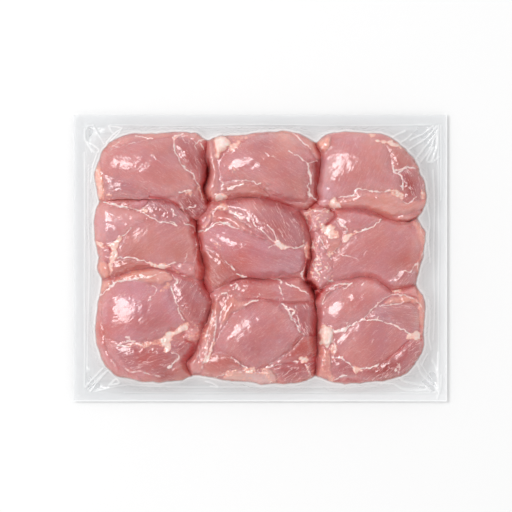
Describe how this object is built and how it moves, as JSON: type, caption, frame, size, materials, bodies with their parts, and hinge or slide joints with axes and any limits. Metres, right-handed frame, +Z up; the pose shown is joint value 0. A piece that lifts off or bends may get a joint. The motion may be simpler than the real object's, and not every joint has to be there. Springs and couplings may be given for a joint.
{
  "type": "vacuum pack of boneless chicken leg meat",
  "caption": "Flat vacuum pack of raw boneless chicken leg pieces, folded and laid side by side under clear tight film with a sealed flange all round.",
  "frame": {"origin": "on the surface that the pack lies on, under the middle of the pack's outline", "axes": "+X along the pack's long side, +Y across it, +Z up out of the side that shows"},
  "size_m": [0.34, 0.261, 0.0388],
  "materials": {
    "raw_meat": "moist raw muscle, mauve pink to salmon, with cream fat and dark red creases",
    "clear_film": "thin clear glossy plastic film, finely wrinkled"
  },
  "bodies": {
    "root": {"sealed_pack": "raw_meat"}
  },
  "joints": []
}
